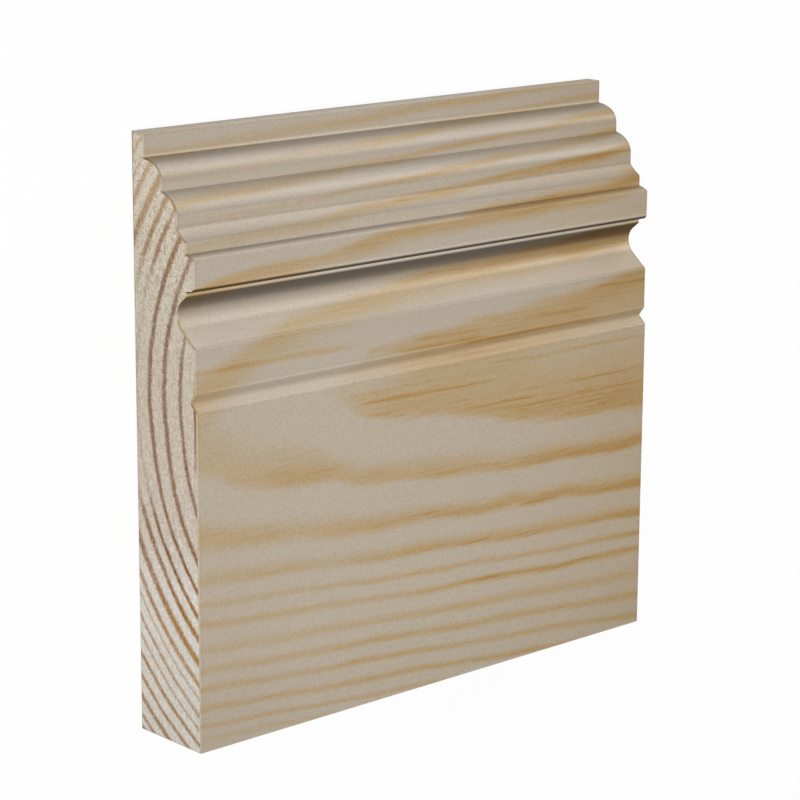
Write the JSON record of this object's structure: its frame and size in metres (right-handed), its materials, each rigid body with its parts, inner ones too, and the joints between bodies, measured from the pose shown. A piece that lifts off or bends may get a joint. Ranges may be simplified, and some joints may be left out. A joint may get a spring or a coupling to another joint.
{
  "type": "skirting board length",
  "caption": "Short moulded softwood skirting board with a stepped ovolo, square fillet and cove profile over a V-grooved plain face.",
  "frame": {"origin": "centre of the back face, the face that goes against the wall", "axes": "+X along the board, +Y towards its moulded top edge, +Z out of the moulded face; the board lies on its back"},
  "size_m": [0.175, 0.169, 0.0267],
  "materials": {
    "planed_softwood": "planed and unfinished"
  },
  "bodies": {
    "root": {"skirting_board": "planed_softwood"}
  },
  "joints": []
}
